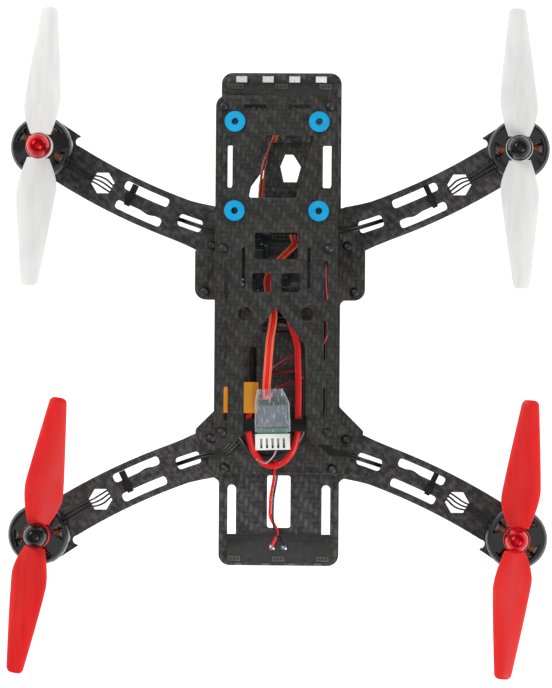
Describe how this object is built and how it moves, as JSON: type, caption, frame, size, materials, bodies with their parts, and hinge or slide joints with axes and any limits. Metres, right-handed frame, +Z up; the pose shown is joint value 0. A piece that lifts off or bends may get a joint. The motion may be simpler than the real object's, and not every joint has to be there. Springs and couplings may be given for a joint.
{
  "type": "racing quadcopter with flight controller",
  "caption": "Carbon-fibre racing quadcopter with curved arms, motors, propellers and a stacked flight controller board between its plates.",
  "frame": {"origin": "centre of the four motor axes, on the underside of the bottom plate", "axes": "+X to the right, +Y to the front, +Z up along the motor axes"},
  "size_m": [0.2458, 0.3038, 0.0456],
  "materials": {
    "carbon_plate": "twill carbon laminate, satin epoxy",
    "carbon_arm": "fine twill carbon laminate, satin epoxy",
    "damper_rubber": "soft blue silicone",
    "black_hardware": "black oxide steel and anodised aluminium",
    "bright_metal": "satin steel",
    "motor_black": "glossy black anodised aluminium",
    "stator_steel": "coated laminations",
    "copper": "enamelled copper wire",
    "magnet": "nickel plated",
    "prop_white": "translucent white moulded plastic",
    "prop_red": "translucent red moulded plastic",
    "nut_red": "glossy red anodised aluminium",
    "nut_black": "glossy black anodised aluminium",
    "light_board_black": "black solder mask",
    "led_white": "white lamp body",
    "board_green": "green solder mask",
    "board_black": "dark solder mask",
    "chip_black": "moulded chip packages",
    "plug_plastic": "off-white connector plastic",
    "plug_black": "black connector plastic",
    "button_black": "moulded plunger",
    "capacitor_sleeve": "dark sleeve",
    "nylon_natural": "natural nylon",
    "clear_sleeve": "clear shrink sleeve",
    "cable_red": "soft cable insulation",
    "plug_amber": "amber nylon",
    "tie_black": "black nylon"
  },
  "bodies": {
    "airframe": {"bottom_plate": "carbon_plate", "mid_plate": "carbon_plate", "top_plate": "carbon_plate", "camera_plate": "carbon_plate", "vibration_dampers": "damper_rubber", "standoffs": "black_hardware", "ear_spacers": "bright_metal", "top_plate_screws": "black_hardware", "arm_screws": "black_hardware", "belly_screws": "black_hardware", "arm_front_left": "carbon_arm", "arm_front_right": "carbon_arm", "arm_rear_left": "carbon_arm", "arm_rear_right": "carbon_arm", "motor_bases": "motor_black", "stator_cores": "stator_steel", "windings": "copper", "bearings": "bright_metal", "motor_screws": "black_hardware", "front_light_board": "light_board_black", "rear_light_board": "light_board_black", "light_leds": "led_white", "flight_controller_board": "board_black", "flight_controller_chips": "chip_black", "flight_controller_plugs": "plug_black", "speed_controller_board": "board_black", "speed_controller_parts": "chip_black", "power_capacitor": "capacitor_sleeve", "stack_spacers": "nylon_natural", "stack_screws": "black_hardware", "stack_nuts": "bright_metal", "receiver_board": "board_green", "receiver_sleeve": "clear_sleeve", "receiver_connector": "plug_plastic", "receiver_cable": "cable_red", "battery_plug": "plug_amber", "battery_wires": "cable_red", "signal_wires": "tie_black", "cable_ties": "tie_black"},
    "rotor_front_left": {"bell_front_left": "motor_black", "magnets_front_left": "magnet", "shaft_front_left": "bright_metal", "propeller_front_left": "prop_white", "prop_nut_front_left": "nut_red"},
    "rotor_front_right": {"bell_front_right": "motor_black", "magnets_front_right": "magnet", "shaft_front_right": "bright_metal", "propeller_front_right": "prop_white", "prop_nut_front_right": "nut_black"},
    "rotor_rear_left": {"bell_rear_left": "motor_black", "magnets_rear_left": "magnet", "shaft_rear_left": "bright_metal", "propeller_rear_left": "prop_red", "prop_nut_rear_left": "nut_black"},
    "rotor_rear_right": {"bell_rear_right": "motor_black", "magnets_rear_right": "magnet", "shaft_rear_right": "bright_metal", "propeller_rear_right": "prop_red", "prop_nut_rear_right": "nut_red"},
    "boot_button": {"boot_button": "button_black"}
  },
  "joints": [
    {"name": "spin_front_left", "type": "hinge", "parent": "airframe", "child": "rotor_front_left", "pos_m": [-0.109, 0.0885, 0.03], "axis": [0, 0, 1], "continuous": true},
    {"name": "spin_front_right", "type": "hinge", "parent": "airframe", "child": "rotor_front_right", "pos_m": [0.109, 0.0885, 0.03], "axis": [0, 0, 1], "continuous": true},
    {"name": "spin_rear_left", "type": "hinge", "parent": "airframe", "child": "rotor_rear_left", "pos_m": [-0.109, -0.0885, 0.03], "axis": [0, 0, 1], "continuous": true},
    {"name": "spin_rear_right", "type": "hinge", "parent": "airframe", "child": "rotor_rear_right", "pos_m": [0.109, -0.0885, 0.03], "axis": [0, 0, 1], "continuous": true},
    {"name": "boot_button_press", "type": "slide", "parent": "airframe", "child": "boot_button", "axis": [0, 0, 1], "range_m": [-0.00025, 0]}
  ]
}
